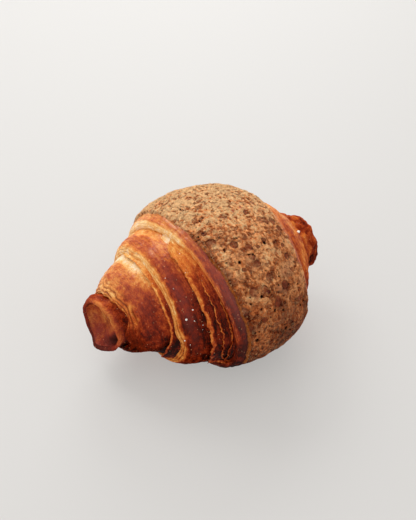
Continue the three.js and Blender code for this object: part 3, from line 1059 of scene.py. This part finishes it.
def tips(material):
    """The innermost turn, which is seen at both ends of the roll. Its right end is lumpy, and a hollow lies
    low at the front of the left one, where the dough did not close; it is painted nearly black, which is
    painted shade. Its brown is paler on top, which is painted light, with a painted highlight on the rim
    and painted shade under the mouth's upper rim."""
    x, depth, shrink, rim = tip_rings()
    angle = np.broadcast_to(ANGLE, x.shape)
    p = roll_point(x, angle, depth, shrink)
    px, pz = p[..., 0], p[..., 2]
    fine = ringwise(53, x, angle, 1.2, 9.0, 3)
    lumpy = swell(58, p, 4.4)
    at_right_end = ease(px, 46.0, 58.0) * (swell(57, p, 9.0, 1) + 0.9 * lumpy)
    height = 0.16 * fine + 0.35 * swell(55, p, 7.0) + at_right_end
    upright = (pz - axis_point(px)[..., 2]) / 13.0
    patch = swell(59, p, 7.0, 3)
    inside = (rim < -0.9) * 1.0
    # Painted shade in the hollow low at the front of the mouth.
    painted_hole_shade = inside * hill(rim, -1.24, 0.22) * hill(DEGREES, 216.0, 30.0)
    # Paler on top and darker underneath: painted light and shade.
    brown = 0.84 - 0.16 * SIN + 0.06 * patch + 0.05 * fine
    brown = mix(brown, 0.54 + 0.22 * patch - 0.06 * upright + 0.9 * painted_hole_shade, inside)
    # Painted highlight on the rim's upper front; the tube is darker to the front past the rim.
    brown = brown - 0.26 * hill(rim, RIM, 0.7) * (1 - inside) * ease(SIN - COS, 0.0, 1.0)
    brown = brown + 0.10 * ease(rim, 0.8, 2.5) * ease(-COS, -0.2, 0.6)
    # Painted shade inside the mouth under its upper rim.
    brown = brown + 0.36 * inside * ease(rim, -1.6, -1.1) * ease(SIN, -0.2, 0.7)
    # The right end is paler on top: painted light.
    right_end = 0.69 - 0.10 * SIN + 0.12 * patch + 0.10 * ease(px, 52.0, 60.0) - 0.22 * lumpy
    brown = mix(brown, right_end, ease(px, 35.0, 45.0))
    # A painted plum sheen, a painted reflection, on the rim and inside the mouth, strongest low inside.
    painted_plum = 0.55 * hill(rim, 0.3, 1.1) + inside * mix(0.35, 1.0, ease(-upright, -0.3, 0.7)) * (1 - painted_hole_shade)
    p = rested(raised(p, height * ease(shrink, 0.02, 0.3)), 0.6)
    ring_mesh("rolled_tips", p, x, dict(brown=brown, crest=painted_plum, groove=0.0, gloss=0.12), material)


# ---- Torn skins ---------------------------------------------------------------------------------


def torn_skin(name, skin, material):
    """A thin torn layer of dough that lies on the bed of the turn under it and ends in a ragged, lifted
    edge. Its outer side runs from the hidden edge to the torn one and its inner side runs back under it.
    It flares up by the fifth power of the share of the way to the torn edge."""
    seed, under, hidden = skin["seed"], skin["under"], skin["hidden"]
    columns, rows, thick = SKIN["columns"], SKIN["rows"], SKIN["thick"]
    angle = np.linspace(np.radians(skin["start"]), np.radians(skin["stop"]), columns)[None, :]
    share = np.linspace(0.0, 1.0, columns)[None, :]
    rag = ringwise(seed, 0.0, angle, 9.0, 8.0) + 0.5 * ringwise(seed + 1, 4.0, angle, 9.0, 2.4, 3)
    torn = skin["edge"] + skin["ragged"] * rag - skin["lean"] * np.cos(angle)
    torn = torn + skin["low"] * ease(np.degrees(angle), 160.0, 205.0)
    torn = mix(hidden, torn, ease(share, 0.0, 0.14) * (1 - ease(share, 0.90, 1.0)))
    t = np.linspace(0.0, 1.0, rows)[:, None]
    x = mix(hidden, torn, t)
    crest = under["left"]["crest"] - under["left"]["lean"] * np.cos(angle)
    bed = under["tuck"] * ease(x, crest, crest + TUCK_RUN)
    flare = skin["lift"] * t**5 * (1.0 + 0.7 * ringwise(seed + 4, 0.0, angle, 9.0, 5.0))
    wave = 0.22 * ringwise(seed + 6, x, angle, 1.4, 8.0)
    depth = bed - thick - SKIN["clear"] - flare - wave
    outer = roll_point(x, angle, depth)
    inner = roll_point(x, angle, depth + thick * mix(1.0, 0.6, t))

    fine = ringwise(seed + 3, x, angle, 1.3, 9.0, 3)
    strip = skin["pale"] * (1.0 + 0.5 * ringwise(seed + 12, 0.0, angle, 9.0, 5.0))
    pale = (1 - ease(x - torn, 0.6 * strip, 1.2 * strip)) * ease(share, 0.14, 0.34)
    # Browner to the front and underneath: partly baked colour, partly painted shade.
    brown = by_station((0.20, 0.26, 0.82, 0.99), angle) + 0.06 * fine
    brown = brown + 0.08 * ringwise(seed + 8, x, angle, 8.0, 12.0)
    pale_brown = by_station((0.26, 0.32, 0.45, 0.66), angle)
    pale_brown = pale_brown + 0.16 * ringwise(seed + 15, x, angle, 2.0, 5.0, 3) + 0.08 * fine
    brown = mix(brown, pale_brown, pale)
    marks = dict(brown=brown, crest=0.0, groove=0.0, gloss=0.2)
    sheet_mesh(name, outer, inner, x, angle, marks, material)


def sheet_mesh(name, outer, inner, x, angle, marks, material):
    """A closed thin sheet from the grids of its outer and inner sides: the rows run out along one and back
    along the other, and each of its two ends is one face."""
    rows, columns = x.shape
    points = np.concatenate([outer, inner[::-1]]).reshape(-1, 3) * MM
    row = np.arange(2 * rows)
    start = row[:, None] * columns
    after = (row[:, None] + 1) % (2 * rows) * columns
    near = np.arange(columns - 1)
    quads = np.stack([start + near, after + near, after + near + 1, start + near + 1], -1)
    first, last = row[::-1] * columns, row * columns + columns - 1
    mesh = bpy.data.meshes.new(name)
    faces = [*quads.reshape(-1, 4).tolist(), first.tolist(), last.tolist()]
    mesh.from_pydata(points.tolist(), [], faces)

    def there_and_back(values):
        """A grid's values for the outer side and, in reverse, for the inner one."""
        values = np.broadcast_to(values, x.shape)
        return np.concatenate([values, values[::-1]]).ravel()

    for mark, values in marks.items():
        put_mark(mesh, mark, there_and_back(values))
    follow_rings(mesh, there_and_back(x), there_and_back(angle))
    finished(name, mesh, material)


# ---- Sugar grains -------------------------------------------------------------------------------


def sugar_grains(material):
    """A few loose sugar grains: cubes of three by three points on a side, their corners drawn in by the
    power 0.8 of their distance from the middle, each turned its own way and pressed into the dough."""
    rng = np.random.default_rng(31)
    fine = [(rng.uniform(-28, -16), rng.uniform(95, 190), rng.uniform(0.14, 0.24)) for _ in range(8)]
    x, degrees, size = np.array([*SUGAR, *fine]).T
    turns, _ = np.linalg.qr(rng.normal(size=(len(x), 3, 3)))
    step = np.linspace(-1, 1, 3)
    block = np.stack(np.meshgrid(step, step, step, indexing="ij"), -1).reshape(-1, 3)
    block = block / np.linalg.norm(block, axis=1, keepdims=True).clip(1.0) ** 0.8
    centres = roll_point(x, np.radians(degrees), -0.5 * size)
    grains = block @ turns.transpose(0, 2, 1) * size[:, None, None] * np.array([1.0, 0.85, 0.8])
    points = (grains + centres[:, None, :]) * MM
    number = np.arange(len(block)).reshape(3, 3, 3)
    quads = []
    for axis in range(3):
        for side in (0, 2):
            face = number.take(side, axis)
            corners = [face[:-1, :-1], face[1:, :-1], face[1:, 1:], face[:-1, 1:]]
            quads.append(np.stack(corners, -1).reshape(-1, 4))
    faces = len(block) * np.arange(len(x))[:, None, None] + np.concatenate(quads)
    mesh = bpy.data.meshes.new("sugar_grains")
    mesh.from_pydata(points.reshape(-1, 3).tolist(), [], faces.reshape(-1, 4).tolist())
    finished("sugar_grains", mesh, material)
    turn_out(mesh)


def turn_out(mesh):
    """Drops the points that no face uses, and turns all faces outwards."""
    b = bmesh.new()
    b.from_mesh(mesh)
    unused = [v for v in b.verts if not v.link_faces]
    bmesh.ops.delete(b, geom=unused, context="VERTS")
    bmesh.ops.recalc_face_normals(b, faces=b.faces)
    b.to_mesh(mesh)
    b.free()


# ---- Making it ----------------------------------------------------------------------------------

dough = dough_material()
dough_turn("outer_turn", OUTER, dough)
dough_turn("middle_turn", MIDDLE, dough)
dough_turn("inner_turn", INNER, dough)
tips(dough)
almond_crust(crust_material())
for skin_name, skin in TORN_SKINS.items():
    torn_skin(skin_name, skin, dough)
sugar_grains(sugar_material())


def centre_pieces():
    """Moves the roll so that its box is centred on the frame's origin, as the solid's is."""
    low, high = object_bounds()
    shift = Vector((-(low.x + high.x) / 2, -(low.y + high.y) / 2, 0.0))
    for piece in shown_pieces():
        if piece.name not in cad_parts:
            points = np.empty(len(piece.data.vertices) * 3)
            piece.data.vertices.foreach_get("co", points)
            points = points.reshape(-1, 3) + np.array(shift)
            piece.data.vertices.foreach_set("co", points.ravel())
            piece.data.update()


centre_pieces()

# ---- Stage: places in metres, powers in watts ---------------------------------------------------

TABLE_HALF_SIZE = 3.0
TABLE_COLOUR = (0.235, 0.236, 0.239, 1)
TABLE_GLOW = (1.0, 0.97, 0.935, 1)
TABLE_GLOW_STRENGTH = 0.37
SKY_COLOUR = (1.0, 0.975, 0.93, 1)
SKY_DIMMEST, SKY_BRIGHTEST = 0.50, 1.12
AZIMUTH, ELEVATION, DISTANCE = np.radians(-32.5), np.radians(45.0), 0.65
FOCAL_LENGTH = 90.0
LOOKED_AT = Vector((0.0, 0.0, 0.038))
AIM_UP, AIM_LEFT = 0.0072, 0.0004

BACK = Vector(
    (
        np.sin(AZIMUTH) * np.cos(ELEVATION),
        -np.cos(AZIMUTH) * np.cos(ELEVATION),
        np.sin(ELEVATION),
    )
)
RIGHTWARD = Vector((np.cos(AZIMUTH), np.sin(AZIMUTH), 0.0))
UPWARD = BACK.cross(RIGHTWARD)
AHEAD = Vector((-BACK.x, -BACK.y, 0)).normalized()


def table_top():
    """A plain pale table. It glows a little, which keeps the croissant's shadow light."""
    mesh = bpy.data.meshes.new("table_top")
    size = TABLE_HALF_SIZE
    corners = [(-size, -size, 0), (size, -size, 0), (size, size, 0), (-size, size, 0)]
    mesh.from_pydata(corners, [], [(0, 1, 2, 3)])
    floor = bpy.data.objects.new("table_top", mesh)
    bpy.context.scene.collection.objects.link(floor)
    material, _, shader = new_material("white_table")
    shader.inputs["Base Color"].default_value = TABLE_COLOUR
    shader.inputs["Roughness"].default_value = 0.6
    shader.inputs["Emission Color"].default_value = TABLE_GLOW
    shader.inputs["Emission Strength"].default_value = TABLE_GLOW_STRENGTH
    floor.data.materials.append(material)


def camera():
    """A long lens in front and above, looking down at the croissant's left front."""
    data = bpy.data.cameras.new("camera")
    data.lens, data.sensor_width = FOCAL_LENGTH, 36.0
    data.clip_start, data.clip_end = 0.01, 20.0
    holder = bpy.data.objects.new("camera", data)
    bpy.context.scene.collection.objects.link(holder)
    holder.location = LOOKED_AT + UPWARD * AIM_UP - RIGHTWARD * AIM_LEFT + BACK * DISTANCE
    holder.rotation_euler = BACK.to_track_quat("Z", "Y").to_euler()
    bpy.context.scene.camera = holder


def lamp(name, place, aim, width, power, colour):
    """A round soft lamp at a place, turned to what it aims at."""
    light = bpy.data.lights.new(name, "AREA")
    light.shape, light.size, light.energy, light.color = "DISK", width, power, colour
    holder = bpy.data.objects.new(name, light)
    bpy.context.scene.collection.objects.link(holder)
    holder.location = place
    holder.rotation_euler = (aim - place).to_track_quat("-Z", "Y").to_euler()


def studio_sky():
    """An even pale sky, brighter in front of the croissant and above it."""
    world = bpy.data.worlds.new("studio")
    world.use_nodes = True
    n = Nodes(world.node_tree)
    bright_side = (-AHEAD * 0.6 - RIGHTWARD * 0.25 + Vector((0, 0, 0.75))).normalized()
    facing = n.add("ShaderNodeVectorMath", operation="DOT_PRODUCT")
    n.feed(facing.inputs[0], n.add("ShaderNodeTexCoord").outputs["Generated"])
    facing.inputs[1].default_value = bright_side
    back = world.node_tree.nodes["Background"]
    strength = n.span(facing.outputs["Value"], -1.0, 1.0, SKY_DIMMEST, SKY_BRIGHTEST)
    n.feed(back.inputs["Strength"], strength)
    back.inputs["Color"].default_value = SKY_COLOUR
    bpy.context.scene.world = world


table_top()
camera()
window = AHEAD * 0.65 - RIGHTWARD * 0.5 + Vector((0, 0, 0.8))
lamp("window", window, Vector((0, 0, 0.03)), 0.6, 4.8, (1.0, 0.97, 0.93))
beyond = AHEAD + Vector((0, 0, 0.5))
lamp("back_softbox", beyond, AHEAD * 0.45, 0.7, 5.6, (1.0, 1.0, 0.98))
studio_sky()
bpy.context.scene.view_settings.view_transform = "Standard"
